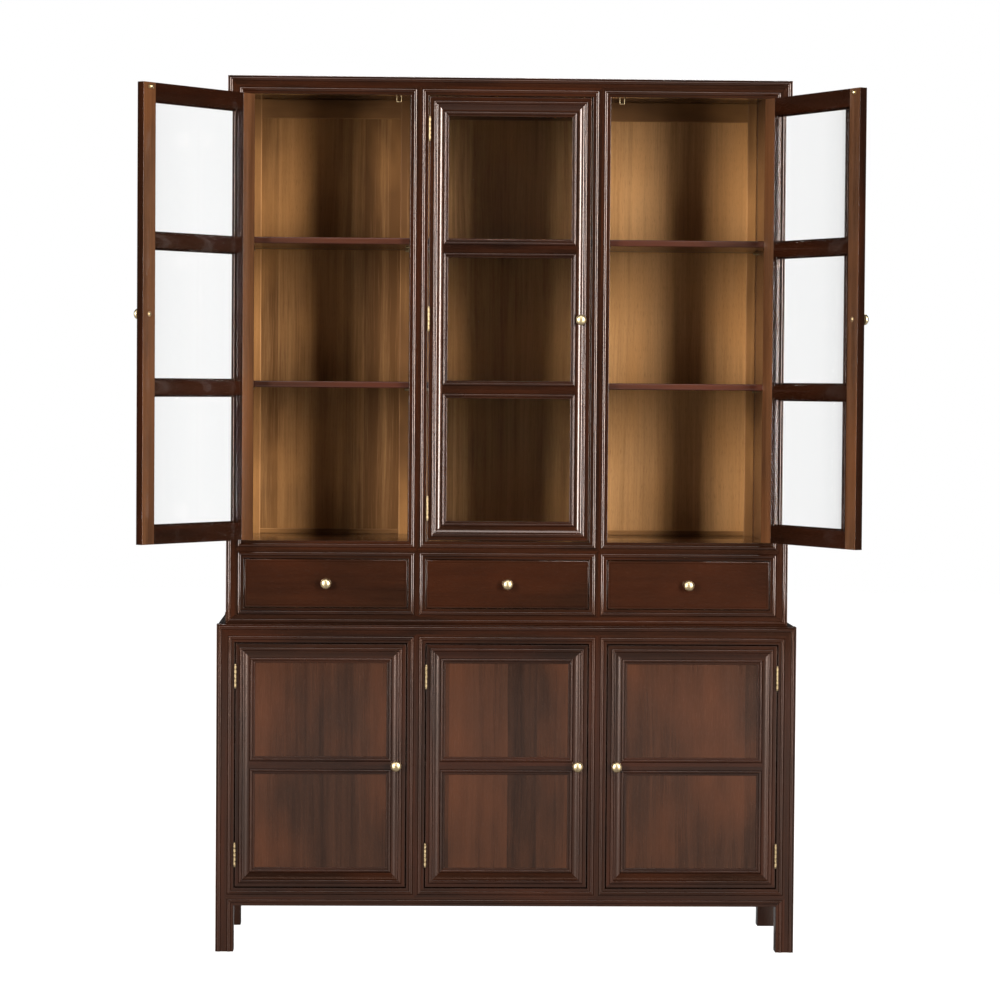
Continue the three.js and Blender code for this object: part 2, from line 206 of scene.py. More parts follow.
def quirk(centre, depth):
    """A fine V groove beside a bead, with shade painted darker at its bottom."""
    left, right = [centre - QUIRK, depth, 0.0], [centre + QUIRK, depth, 0.0]
    return np.array([left, [centre, depth + QUIRK, -1.0], right])


def section(back, *runs):
    """The runs end to end, with the depth of the back added and no two points on one spot."""
    points = np.concatenate(runs)
    points[:, 0] += np.arange(len(points)) * SLIVER
    return np.column_stack([points[:, 0], points[:, 1], np.full(len(points), back), points[:, 2]])


def member_section(width, back, inset=BEAD_INSET, edge_wear_and_shade=GAP_SHADE):
    """Half a post or rail, from the edge to its centre line: a flat, one quirked bead, a flat."""
    flat = BEAD_RISE
    near, far = inset - BEAD_HALF - QUIRK, inset + BEAD_HALF + QUIRK
    return section(
        back,
        # the arris at the edge: painted shade beside a gap, or rubbed lighter on the case's rim
        ease(0, flat, wear_and_shade=edge_wear_and_shade),
        level(2 * EASE, near - 2 * QUIRK, flat),
        quirk(near, flat),
        bead(inset, BEAD_HALF, flat, BEAD_RISE),
        quirk(far, flat),
        level(far + 2 * QUIRK, width, flat),
    )


def sash_outer_section(back):
    """Outer part of a door member: a sunk flat, the outer bead, then a hollow that falls inward."""
    return section(
        back,
        # painted shade on the arris beside the door gap
        ease(0, SASH_FLAT, wear_and_shade=GAP_SHADE),
        level(0.002, 0.0078, SASH_FLAT),
        quirk(0.0086, SASH_FLAT),
        bead(0.0132, 0.0038, 0.0026, 0.0026),
        quirk(0.0178, 0.003),
        hollow(0.0190, 0.0032, SASH_OUTER, 0.0085, 0.0012),
    )


def sash_inner_section(width, back):
    """Inner part, counted from the edge of the light: a small round, the inner bead, a flat."""
    return section(
        back,
        np.array([[0.0, REBATE_FRONT - 0.0006, 0.0]]),
        ease(0.0002, LIGHT_FLAT, 0.0016, 4),
        level(0.0022, 0.0046, LIGHT_FLAT),
        bead(0.0086, 0.0036, 0.0098, 0.0040),
        level(0.0128, width, 0.0086),
    )


# ---- solids ----
# Each maker returns a Solid: points, faces as arrays of equal width, and per-point layers.

timber = np.random.default_rng(7)


class Solid(NamedTuple):
    points: np.ndarray
    faces: list
    grain: np.ndarray
    wear_and_shade: np.ndarray
    tone: np.ndarray


def grain_map(points, along):
    """UV in metres: the coordinate along the grain, and the other two added up. Every stick is
    slid to its own place in the timber, so that no two show the same figure."""
    run = points @ np.abs(along)
    cross = points.sum(1) - run
    return np.column_stack([run + 5 * timber.random(), cross + 3 * timber.random()])


def own_tone(count, spread=1.0):
    """One lightness for the whole stick, between -spread and spread."""
    return np.full(count, spread * (2 * timber.random() - 1))


def grid_faces(rows, columns, closed):
    """Quads of a grid of points that wraps round its rows or round its columns."""
    r = np.arange(rows if closed == "rows" else rows - 1)[:, None]
    c = np.arange(columns if closed == "columns" else columns - 1)[None, :]
    r1, c1 = (r + 1) % rows, (c + 1) % columns
    quads = [r * columns + c, r * columns + c1, r1 * columns + c1, r1 * columns + c]
    return np.stack(np.broadcast_arrays(*quads), -1).reshape(-1, 4)


def outward(points, faces):
    """Turns every face round if the solid is inside out: the signed volume of the fans from each
    face's first corner is the sum of a . (b x c) / 6."""
    volume = 0.0
    for group in faces:
        corners = points[group]
        for k in range(1, group.shape[1] - 1):
            a, b, c = corners[:, 0], corners[:, k], corners[:, k + 1]
            volume += np.einsum("ij,ij->", a, np.cross(b, c))
    return faces if volume > 0 else [group[:, ::-1] for group in faces]


def stick(cut, corner, along, across, start, finish, spread=1.0):
    """A section carried in a straight line. Slice i stands at corner + across a_i and runs from
    start(a_i) to finish(a_i) along, from its front depth to its back depth: four rows of points
    round each slice, joined in a loop, with the two outer slices closed by a quad."""
    a, front, back, wear_and_shade = cut.T
    rows = [(start(a), front), (finish(a), front), (finish(a), back), (start(a), back)]
    slices = corner + np.outer(a, across)
    points = np.concatenate([slices + np.outer(s, along) + np.outer(d, INTO) for s, d in rows])
    n = len(a)
    ends = np.array([[0, n, 2 * n, 3 * n], [4 * n - 1, 3 * n - 1, 2 * n - 1, n - 1]])
    faces = outward(points, [np.concatenate([grid_faces(4, n, "rows"), ends])])
    behind = np.zeros(n)
    wear_and_shade = np.concatenate([wear_and_shade, wear_and_shade, behind, behind])
    return Solid(points, faces, grain_map(points, along), wear_and_shade, own_tone(4 * n, spread))


EDGES = {
    "left": ("x0", "z0", UP, LEFT),
    "right": ("x1", "z0", UP, RIGHT),
    "top": ("x0", "z1", RIGHT, UP),
    "bottom": ("x0", "z0", RIGHT, DOWN),
}


def edge_stick(
    rect, side, front, cut, inward=False, mitres=(True, True), reach=1.0, beyond=(0.0, 0.0)
):
    """A stick along one side of a rectangle, growing outward from it, or inward. At a mitred end
    it is as much longer (or shorter) as it is across, up to reach, so its neighbour meets it. At
    each end it also runs past the rectangle by a length of its own, beyond."""
    x_name, z_name, along, across = EDGES[side]
    corner = np.array([getattr(rect, x_name), front, getattr(rect, z_name)])
    run = rect.z1 - rect.z0 if along is UP else rect.x1 - rect.x0
    sign = -1.0 if inward else 1.0
    first, last = (sign if mitred else 0.0 for mitred in mitres)
    return stick(
        cut,
        corner,
        along,
        sign * across,
        lambda a: -first * np.minimum(a, reach) - beyond[0],
        lambda a: run + last * np.minimum(a, reach) + beyond[1],
    )


def board(low, high, along, radius=EASE, spread=1.0):
    """A board between two corners, its long arrises rounded: the section is a rectangle with
    quarter circles of that radius, and it runs square-ended along the grain."""
    low, high = np.array(low, float), np.array(high, float)
    axis = int(np.argmax(np.abs(along)))
    u, v = [i for i in range(3) if i != axis]
    turn = np.linspace(0, math.pi / 2, 4)
    loop = []
    for k, (u_way, v_way) in enumerate([(1, 1), (-1, 1), (-1, -1), (1, -1)]):
        corner = (high if u_way > 0 else low)[u], (high if v_way > 0 else low)[v]
        inner = np.array(corner) - radius * np.array([u_way, v_way])
        phase = turn + k * math.pi / 2
        loop.append(inner + radius * np.column_stack([np.cos(phase), np.sin(phase)]))
    loop = np.concatenate(loop)
    n = len(loop)
    points = np.zeros((2 * n, 3))
    points[:, [u, v]] = np.concatenate([loop, loop])
    points[:n, axis], points[n:, axis] = low[axis], high[axis]
    caps = np.array([np.arange(n)[::-1], np.arange(n) + n])
    faces = outward(points, [grid_faces(2, n, "columns"), caps])
    wear_and_shade = np.full(2 * n, 0.25)
    return Solid(points, faces, grain_map(points, along), wear_and_shade, own_tone(2 * n, spread))


def slab(rect, front, back, run, along, spread=1.0):
    """A rectangular panel whose front follows a run inward from all four edges: one rectangle of
    points for each place on the run, joined ring to ring, with the middle and the back closed."""
    a, depth, wear_and_shade = run.T
    a = a + np.arange(len(a)) * SLIVER
    x = np.stack([rect.x0 + a, rect.x1 - a, rect.x1 - a, rect.x0 + a], 1)
    z = np.stack([rect.z0 + a, rect.z0 + a, rect.z1 - a, rect.z1 - a], 1)
    y = np.repeat((front + depth)[:, None], 4, 1)
    rings = np.stack([x, y, z], -1)
    rear = rings[:1].copy()
    rear[..., 1] = back
    rings = np.concatenate([rear, rings])
    rows = len(rings)
    points = rings.reshape(-1, 3)
    lids = np.array([[3, 2, 1, 0], np.arange(4) + 4 * (rows - 1)])
    faces = outward(points, [np.concatenate([grid_faces(rows, 4, "columns"), lids])])
    wear_and_shade = np.repeat(np.concatenate([[0.0], wear_and_shade]), 4)
    return Solid(points, faces, grain_map(points, along), wear_and_shade, own_tone(len(points), spread))


def turned(profile, base, axis, steps=24, polish=1.0):
    """A turning: (radius, out) points spun round an axis that leaves base, with
    base + out axis + radius (cos t e1 + sin t e2), and both ends closed by one flat face. Its
    wear is the radius as a part of the widest, times polish."""
    profile = np.array(profile, float)
    axis = np.array(axis, float)
    e1 = np.cross(axis, UP if abs(axis[2]) < 0.9 else RIGHT)
    e1 /= np.linalg.norm(e1)
    e2 = np.cross(axis, e1)
    turn = np.linspace(0, 2 * math.pi, steps, endpoint=False)
    spoke = np.outer(np.cos(turn), e1) + np.outer(np.sin(turn), e2)
    radius, out = profile.T[:, :, None, None]
    points = (np.array(base, float) + out * axis + radius * spoke[None]).reshape(-1, 3)
    rows = len(profile)
    caps = np.array([np.arange(steps)[::-1], np.arange(steps) + steps * (rows - 1)])
    faces = outward(points, [grid_faces(rows, steps, "columns"), caps])
    wear_and_shade = polish * np.repeat(profile[:, 0] / profile[:, 0].max(), steps)
    return Solid(points, faces, grain_map(points, axis), wear_and_shade, own_tone(len(points)))


# ---- pieces ----

SMOOTH_BELOW = math.radians(38)
finishes = {}


def hanging(body):
    """The pin a body turns about, and its turn from shut to rest. A door is drawn shut, at its
    joint's low limit, so it is turned back by that limit."""
    for joint in frame["joints"]:
        if joint["child"] == body and joint["type"] == "hinge":
            angle = -math.radians(joint["range_deg"][0])
            return np.array(joint["pos_m"]), np.array(Matrix.Rotation(angle, 3, joint["axis"]))
    return np.zeros(3), np.eye(3)


FINISHED_AS = {"glass": "pane", "brass": "turning", "back_veneer": "veneered"}


def put(name, data):
    """A new object in the scene."""
    thing = bpy.data.objects.new(name, data)
    bpy.context.scene.collection.objects.link(thing)
    return thing


def make(name, solids, finish, body="case", stands_for=()):
    """One piece from its solids, turned to rest, in its finish, riding on its body. A piece that
    stands for a frame node of its own name takes a second name after its finish."""
    if name in stands_for:
        name = f"{name}_{FINISHED_AS.get(finish, 'timber')}"
    pin, turn = hanging(body)
    points, faces, first = [], [], 0
    for solid in solids:
        points.append((solid.points - pin) @ turn.T + pin)
        faces += [face for group in solid.faces for face in (group + first).tolist()]
        first += len(solid.points)
    mesh = bpy.data.meshes.new(name)
    mesh.from_pydata(np.concatenate(points), [], faces)
    corner = np.zeros(len(mesh.loops), np.int32)
    mesh.loops.foreach_get("vertex_index", corner)
    grain = np.concatenate([solid.grain for solid in solids])
    grain_layer = mesh.uv_layers.new(name="grain")
    grain_layer.data.foreach_set("uv", grain[corner].astype(np.float32).ravel())
    for layer in ("wear_and_shade", "tone"):
        values = np.concatenate([getattr(solid, layer) for solid in solids])
        attribute = mesh.attributes.new(layer, "FLOAT", "POINT")
        attribute.data.foreach_set("value", values.astype(np.float32))
    mesh.polygons.foreach_set("use_smooth", np.ones(len(mesh.polygons), bool))
    mesh.set_sharp_from_angle(angle=SMOOTH_BELOW)
    mesh.materials.append(finishes[finish])
    piece = put(name, mesh)
    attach(piece, body)
    if stands_for:
        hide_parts(*stands_for)
    return piece


def stand_in(name, solids, finish="frame_wood", body="case", node_name=None):
    """A piece that stands for a frame node, of its own name unless another is given."""
    return make(name, solids, finish, body, [node_name or name])


# ---- finishes ----


def node(tree, kind, inputs=None, **settings):
    """A new node with its settings, and each named input linked to a socket or given a value."""
    made = tree.nodes.new(f"ShaderNode{kind}")
    for name, value in settings.items():
        setattr(made, name, value)
    for name, value in (inputs or {}).items():
        if isinstance(value, bpy.types.NodeSocket):
            tree.links.new(value, made.inputs[name])
        else:
            made.inputs[name].default_value = value
    return made


def maths(tree, operation, *values):
    """One operation on sockets or numbers, as a value socket."""
    return node(tree, "Math", dict(enumerate(values)), operation=operation).outputs[0]


def sum_of(tree, *terms):
    """The sum of (socket, factor, offset) terms, as one value socket."""
    total = 0.0
    for socket, factor, offset in terms:
        total = maths(tree, "ADD", maths(tree, "MULTIPLY_ADD", socket, factor, offset), total)
    return total


def remapped(tree, value, *limits):
    """A value carried from the first two limits to the last two (or to 0 and 1), and held there."""
    return node(tree, "MapRange", dict(enumerate((value, *limits)))).outputs[0]


def mixed(tree, factor, low, high):
    """Low where factor is 0, high where it is 1."""
    inputs = {"Factor": factor, 6: low, 7: high}
    return node(tree, "Mix", inputs, data_type="RGBA", clamp_factor=True).outputs[2]


def noise(tree, vector, **inputs):
    """Noise on a vector, as one value socket."""
    inputs = {"Vector": vector, **inputs}
    return node(tree, "TexNoise", inputs).outputs["Fac"]


def long_noise(tree, vector, along, across, detail, roughness=0.55):
    """Noise drawn out along the grain: cells 1 / along by 1 / across metres."""
    scaled = node(tree, "Mapping", {"Vector": vector, "Scale": (along, across, 1.0)})
    return noise(tree, scaled.outputs[0], Scale=1.0, Detail=detail, Roughness=roughness)


def mottle(tree, scale, detail):
    """Even noise in the object's own space, scale cells to the metre."""
    place = node(tree, "TexCoord").outputs["Object"]
    return noise(tree, place, Scale=scale, Detail=detail)


def layer(tree, name):
    """A layer of per-point data."""
    return node(tree, "Attribute", attribute_name=name).outputs["Fac"]


def relief(tree, height, strength, distance):
    """The normal of a bumpy surface."""
    inputs = {"Height": height, "Strength": strength, "Distance": distance}
    return node(tree, "Bump", inputs).outputs[0]


def blank(name):
    """A new material and its empty tree."""
    material = bpy.data.materials.new(name)
    material.use_nodes = True
    material.node_tree.nodes.clear()
    return material, material.node_tree


def surface(tree, shader):
    """The output that ends a material's tree."""
    node(tree, "OutputMaterial", {"Surface": shader.outputs[0]})


# colour of the painted shade in quirks, hollows and on arrises beside gaps
PAINTED_SHADE = (0.004, 0.003, 0.002, 1.0)


def timber_group():
    """Grain, figure, staves, edge wear and painted shade in creases and beside gaps, for every
    wooden finish.
    """
    tree = bpy.data.node_groups.new("timber", "ShaderNodeTree")
    for kind, names in (
        ("Vector", ("Grain",)),
        ("Float", ("Wear And Shade", "Tone And Light", "Stave Width", "Stave Contrast", "Figure")),
        ("Color", ("Dark", "Light", "Warm")),
        ("Float", ("Gloss",)),
    ):
        for name in names:
            tree.interface.new_socket(name, in_out="INPUT", socket_type=f"NodeSocket{kind}")
    for name, kind in (("Color", "Color"), ("Roughness", "Float"), ("Height", "Float")):
        tree.interface.new_socket(name, in_out="OUTPUT", socket_type=f"NodeSocket{kind}")
    given = tree.nodes.new("NodeGroupInput").outputs
    result = tree.nodes.new("NodeGroupOutput").inputs

    # the grain sways a little as it runs
    sway = sum_of(tree, (long_noise(tree, given["Grain"], 1.3, 7.0, 2.0), 0.03, -0.015))
    shift = node(tree, "CombineXYZ", {"Y": sway}).outputs[0]
    swayed = {0: given["Grain"], 1: shift}
    grain = node(tree, "VectorMath", swayed, operation="ADD").outputs[0]
    figure = long_noise(tree, grain, 1.1, 38.0, 4.0)
    streak = long_noise(tree, grain, 3.0, 170.0, 3.0)
    fibre = long_noise(tree, grain, 16.0, 900.0, 2.0)
    pore = long_noise(tree, grain, 45.0, 1500.0, 1.0)
    cloud = long_noise(tree, given["Grain"], 2.2, 5.0, 3.0)

    # every stave has a lightness of its own
    across = node(tree, "SeparateXYZ", {0: given["Grain"]}).outputs["Y"]
    stave = maths(tree, "FLOOR", maths(tree, "DIVIDE", across, given["Stave Width"]))
    drawn = node(tree, "TexWhiteNoise", {"W": stave}, noise_dimensions="1D")
    stave_tone = sum_of(tree, (drawn.outputs["Value"], 1.0, -0.5))
    stave_part = maths(tree, "MULTIPLY", stave_tone, given["Stave Contrast"])

    contrast = sum_of(tree, (figure, 1.5, -0.75), (streak, 1.0, -0.5), (fibre, 0.7, -0.35))
    contrast = maths(tree, "MULTIPLY", contrast, given["Figure"])
    lightness = sum_of(
        tree, (contrast, 1.0, 0.45), (stave_part, 1.0, 0.0), (given["Tone And Light"], 0.12, 0.0)
    )
    plain = mixed(tree, lightness, given["Dark"], given["Light"])
    warmth = sum_of(tree, (cloud, 1.0, 0.0), (stave_part, 0.3, 0.0))
    tinted = mixed(tree, remapped(tree, warmth, 0.42, 0.72, 0.0, 0.7), plain, given["Warm"])
    pores = remapped(tree, pore, 0.60, 0.72, 0.0, 0.55)
    grained = mixed(tree, pores, tinted, given["Dark"])

    # crowns and arrises are rubbed in patches, and shade is painted darker into quirks, hollows and
    # arrises beside gaps
    worn_edge = remapped(tree, given["Wear And Shade"], 0.3, 1.0)
    patches = remapped(tree, cloud, 0.40, 0.66, 0.05, 0.5)
    worn = mixed(tree, maths(tree, "MULTIPLY", worn_edge, patches), grained, given["Light"])
    painted_shade = remapped(tree, given["Wear And Shade"], -0.05, -1.0, 0.0, 0.5)
    tree.links.new(mixed(tree, painted_shade, worn, PAINTED_SHADE), result["Color"])
    duller = [(fibre, 0.14, -0.07), (pores, 0.2, 0.0), (cloud, 0.1, -0.05)]
    rough = sum_of(tree, (given["Gloss"], 1.0, 0.0), *duller)
    tree.links.new(rough, result["Roughness"])
    height = sum_of(tree, (fibre, 1.3, 0.0), (streak, 0.15, 0.0), (pores, -0.4, 0.0))
    tree.links.new(height, result["Height"])
    return tree


timber_nodes = timber_group()


def wood(
    name, dark, light, warm, gloss, figure=1.0, stave=1.0, stave_contrast=0.0, coat=0.55, bump=0.3
):
    """A polished or bare wooden finish: the timber group's colour, roughness and relief."""
    finishes[name], tree = blank(name)
    inputs = {
        "Grain": node(tree, "UVMap", uv_map="grain").outputs[0],
        "Wear And Shade": layer(tree, "wear_and_shade"),
        "Tone And Light": layer(tree, "tone"),
        "Stave Width": stave,
        "Stave Contrast": stave_contrast,
        "Figure": figure,
        "Dark": (*dark, 1.0),
        "Light": (*light, 1.0),
        "Warm": (*warm, 1.0),
        "Gloss": gloss,
    }
    drawn = node(tree, "Group", inputs, node_tree=timber_nodes).outputs
    inputs = {
        "Base Color": drawn["Color"],
        "Roughness": drawn["Roughness"],
        "Normal": relief(tree, drawn["Height"], bump, 0.0005),
        "Specular IOR Level": 0.3,
        "Specular Tint": (1.0, 0.62, 0.45, 1.0),
        "Coat Weight": coat,
        "Coat Roughness": 0.045,
    }
    surface(tree, node(tree, "BsdfPrincipled", inputs))


def brass():
    """Lacquered brass, a little darker and duller in the neck and the quirks than on the crown."""
    finishes["brass"], tree = blank("brass")
    spots = mottle(tree, 180.0, 4.0)
    bright = sum_of(tree, (layer(tree, "wear_and_shade"), 0.8, 0.0), (spots, 0.6, -0.2))
    colour = mixed(tree, bright, (0.20, 0.14, 0.07, 1.0), (0.93, 0.73, 0.42, 1.0))
    inputs = {
        "Base Color": colour,
        "Metallic": 1.0,
        "Roughness": remapped(tree, bright, 0.0, 1.0, 0.46, 0.28),
        "Normal": relief(tree, spots, 0.12, 0.0003),
    }
    surface(tree, node(tree, "BsdfPrincipled", inputs))


def glass():
    """Window glass: clear, very slightly grey, with a faint bloom of dust that dulls its gloss.
    Shadow rays and diffuse rays pass straight through, so that the bays are lit through it."""
    finishes["glass"], tree = blank("glass")
    bloom = mottle(tree, 6.0, 5.0)
    inputs = {
        "Base Color": mixed(tree, bloom, (0.97, 0.975, 0.975, 1.0), (0.99, 0.995, 0.995, 1.0)),
        "Roughness": remapped(tree, bloom, 0.35, 0.75, 0.0, 0.01),
        "IOR": 1.33,
        "Transmission Weight": 1.0,
    }
    shader = node(tree, "BsdfPrincipled", inputs)
    clear = node(tree, "BsdfTransparent", {"Color": (0.86, 0.87, 0.87, 1.0)})
    path = node(tree, "LightPath").outputs
    unbent = maths(tree, "MAXIMUM", path["Is Shadow Ray"], path["Is Diffuse Ray"])
    inputs = {0: unbent, 1: shader.outputs[0], 2: clear.outputs[0]}
    surface(tree, node(tree, "MixShader", inputs))


wood(
    "frame_wood", (0.0040, 0.0012, 0.0007), (0.0205, 0.0066, 0.0026), (0.030, 0.0066, 0.0018),
    gloss=0.22, figure=0.7, coat=0.6, bump=0.2,
)
wood(
    "panel_wood", (0.0070, 0.0025, 0.0012), (0.036, 0.0140, 0.0070), (0.060, 0.0180, 0.0064),
    gloss=0.24, figure=0.8, stave=0.072, stave_contrast=0.4,
)
wood(
    "back_veneer", (0.13, 0.056, 0.017), (0.56, 0.29, 0.11), (0.50, 0.23, 0.07),
    gloss=0.5, figure=0.75, stave=0.11, stave_contrast=0.25, coat=0.0,
)
wood(
    "shelf_wood", (0.010, 0.0028, 0.0016), (0.044, 0.0125, 0.0062), (0.048, 0.0085, 0.0032),
    gloss=0.36,
)
# paler wood: painted sheen on the door stiles' backs; it also lines the inner faces of the hutch
# sides
wood(
    "pale_lining_and_sheen_wood", (0.026, 0.0095, 0.0042), (0.130, 0.056, 0.0245), (0.140, 0.050, 0.0160),
    gloss=0.30,
)
wood(
    "drawer_wood", (0.20, 0.12, 0.055), (0.48, 0.32, 0.17), (0.42, 0.25, 0.11),
    gloss=0.6, coat=0.0,
)
brass()
glass()

# ---- front frames ----

post_half = member_section(HALF, POST_BACK)
post_rim = member_section(HALF, POST_BACK, RIM_INSET, 1.0)
rail_half = member_section(HALF, RAIL_BACK)
rail_rim = member_section(HALF, RAIL_BACK, RIM_INSET, 1.0)
foot_half = member_section(FOOT_HALF, RAIL_BACK)
foot_rim = member_section(FOOT_HALF, RAIL_BACK, RIM_INSET, 1.0)
partition_half = member_section(HALF, PARTITION_BACK)
STANDING = (False, True)  # mitres of an upright that stands square on the floor


def edges(front, cut, *places, **how):
    """Edge sticks for each (rectangle, side) of a member."""
    return [edge_stick(rect, side, front, cut, **how) for rect, side in places]


def along_bays(openings, side):
    """One side of every bay's opening."""
    return [(openings[bay], side) for bay in BAYS]


def between_bays(openings, side):
    """The two edges that face each other across the divider on that side of the middle bay."""
    return [(openings[side], OPPOSITE[side]), (openings["middle"], side)]


def base_front():
    """The base's legs, middle posts and rails. Each member is made of the halves that border its
    openings; their beads meet in mitres where members cross."""
    front = BASE_FRONT
    for side in SIDES:
        leg = edges(front, post_rim, (base_rim, side), inward=True, mitres=STANDING)
        leg += edges(front, post_half, (base_lights[side], side))
        leg += edges(front, post_half, (under_opening, side), mitres=STANDING)
        stand_in(f"base_leg_post_front_{side}", leg)
    for side in SIDES:
        post = edges(front, post_half, *between_bays(base_lights, side))
        stand_in(f"base_mid_post_{side}", post)
    rail = edges(front, rail_rim, (base_rim, "top"), inward=True)
    stand_in("base_top_rail", rail + edges(front, rail_half, *along_bays(base_lights, "top")))
    places = [(under_opening, "top"), *along_bays(base_lights, "bottom")]
    stand_in("base_bottom_rail", edges(front, rail_half, *places))


def hutch_front():
    """The hutch's posts, partitions, dividers and rails, made of halves like the base's."""
    front = HUTCH_FRONT
    for side in SIDES:
        post = edges(front, post_rim, (hutch_rim, side), inward=True, reach=FOOT_HALF)
        post += edges(front, post_half, (displays[side], side))
        post += edges(front, post_half, (drawer_mouths[side], side), reach=FOOT_HALF)
        stand_in(f"hutch_post_{side}", post)
        for part, openings, reach in (
            ("display_partition", displays, 1.0),
            ("drawer_divider", drawer_mouths, FOOT_HALF),
        ):
            halves = edges(front, partition_half, *between_bays(openings, side), reach=reach)
            stand_in(f"{part}_{side}", halves)
    rail = edges(front, rail_rim, (hutch_rim, "top"), inward=True)
    stand_in("hutch_top_rail", rail + edges(front, rail_half, *along_bays(displays, "top")))
    places = along_bays(displays, "bottom") + along_bays(drawer_mouths, "top")
    stand_in("waist_rail", edges(front, rail_half, *places), node_name="display_floor")
    rail = edges(front, foot_half, *along_bays(drawer_mouths, "bottom"))
    rail += edges(front, foot_rim, (hutch_rim, "bottom"), inward=True)
    stand_in("hutch_bottom_rail", rail, node_name="drawer_deck")


base_front()
hutch_front()

# ---- carcase ----

BOARD = span("base_deck")[1][2] - span("base_deck")[0][2]


def block(xs, ys, zs, along, **how):
    """A board between two places on each axis, given in either order."""
    low, high = np.sort(np.array([xs, ys, zs], float), axis=1).T
    return board(low, high, along, **how)


def frame_board(name, finish, along, **how):
    """A board that fills a frame node's box."""
    stand_in(name, [board(*span(name), along, **how)], finish)


def behind_rail(node_name):
    """The board behind a rail that shares its node: it starts at the rail's back."""
    low, high = span(node_name)
    low = np.array([low[0], HUTCH_FRONT + RAIL_BACK, high[2] - BOARD])
    stand_in(f"{node_name}_board", [board(low, high, RIGHT)], node_name=node_name)


def case_boards():
    """Decks, floors, top, legs at the rear, and the long shelf in the base."""
    frame_board("base_deck", "frame_wood", RIGHT)
    frame_board("base_floor", "panel_wood", RIGHT)
    frame_board("base_shelf", "shelf_wood", RIGHT)
    frame_board("base_back", "panel_wood", UP)
    frame_board("hutch_top_board", "frame_wood", RIGHT)
    for side in SIDES:
        frame_board(f"base_leg_post_rear_{side}", "frame_wood", UP, radius=LEG_EASE)
    behind_rail("display_floor")
    behind_rail("drawer_deck")


PANEL = 0.020
PANEL_SHORT = 0.001  # a panel ends this far inside its rails' outer edges
LINING = 0.003
PROUD = 0.0002
RAIL_SUNK = 0.002  # how far the hutch's side rails lie behind its posts' outer faces
SLIP = 0.010
SLIP_ROUND = 0.004


def side_frame(row, side, sign):
    """One side: a sunk panel between rails that lie just behind the posts' outer faces, and on
    the hutch the rear post too. Slips of quarter round line the sunk panel."""
    name = f"{row}_side_{side}"
    low, high = span(name)
    inner, outer = (high[0], low[0]) if side == "left" else (low[0], high[0])
    front, rear, foot, top = low[1], high[1], low[2], high[2]
    panel_inner, rail_outer = inner, outer
    panel_outer = inner + sign * PANEL
    panel_heights = (foot + PANEL_SHORT, top - PANEL_SHORT)
    z0, z1 = foot + MEMBER, top - MEMBER
    if row == "hutch":
        rear -= POST_BACK
        z0 = DRAWER_SILL
        rail_outer = outer - sign * RAIL_SUNK
        panel_inner = inner + sign * LINING
        lining = block((inner, panel_inner), (front, rear), panel_heights, UP)
        make(f"{name}_lining", [lining], "pale_lining_and_sheen_wood")
    panel = block((panel_inner, panel_outer), (front, rear), panel_heights, UP)
    make(f"{name}_panel", [panel], "panel_wood", stands_for=[name])
    rails = [
        block((panel_outer, rail_outer), (front, rear), heights, INTO, radius=LEG_EASE)
        for heights in ((foot, z0), (z1, top))
    ]
    make(f"{name}_rails", rails, "frame_wood", stands_for=[name])
    slip = (panel_outer, panel_outer + sign * SLIP)
    slips = [
        block(slip, (y, y + SLIP), (z0, z1), UP, radius=SLIP_ROUND) for y in (front, rear - SLIP)
    ] + [
        block(slip, (front, rear), (z, z + SLIP), INTO, radius=SLIP_ROUND) for z in (z0, z1 - SLIP)
    ]
    make(f"{name}_slips", slips, "frame_wood", stands_for=[name])
    if row == "hutch":
        post = block((inner, outer), (rear, high[1]), (foot, top), UP, radius=LEG_EASE)
        make(f"hutch_rear_post_{side}", [post], "frame_wood", stands_for=[name])


VENEER_BAY_LIGHT = (-2.4, -0.4, 2.6)  # painted light: each bay's sheet is made lighter or darker for how much light reaches that bay
VENEER_SUNK = 0.0025  # the sheets lie this far behind their borders' faces
BORDER_SHADE = -5.0
BORDER_ROUND = 0.0018
BORDER = {"left": 0.023, "right": 0.023, "top": 0.048, "bottom": 0.012}  # widths


def hutch_back():
    """The veneered back, and in each bay a border of stiles and a deep top rail with a rounded
    inner edge, seen from the front."""
    low, high = span("hutch_back")
    veneer_front = low[1] + VENEER_SUNK
    seams = [low[0], *(span(f"drawer_divider_{side}")[0][0] + HALF for side in SIDES), high[0]]
    sheets = [
        board((start, veneer_front, low[2]), (end, high[1], high[2] + TOUCH), UP, spread=0)
        for start, end in zip(seams[:-1], seams[1:])
    ]
    # each sheet's tone paints how brightly its bay is lit
    for sheet, shade in zip(sheets, VENEER_BAY_LIGHT):
        sheet.tone[:] = shade
    stand_in("hutch_back", sheets, "back_veneer")
    top = span("hutch_top_board")[0][2]
    for bay, rect in displays.items():
        x0, x1 = rect.x0 + BORDER["left"], rect.x1 - BORDER["right"]
        sight = Rect(x0, x1, rect.z0 + BORDER["bottom"], top - BORDER["top"])
        solids = []
        for side, width in BORDER.items():
            run = [ease(0, 0.0, BORDER_ROUND, 4), level(0.003, width - TOUCH, 0.0)]
            beyond = (BORDER["bottom"], BORDER["top"]) if side in SIDES else (0.0, 0.0)
            cut = section(VENEER_SUNK, *run)
            solids += edges(low[1], cut, (sight, side), mitres=(False, False), beyond=beyond)
        for solid in solids:
            solid.tone[:] = BORDER_SHADE
        make(f"back_border_{bay}", solids, "back_veneer")


PIN_BEHIND_FRONT, PIN_BEFORE_REAR = 0.085, 0.045  # shelf pins, from the shelf's edges
PIN_BELOW = 0.0032
PIN_SUNK = 0.001


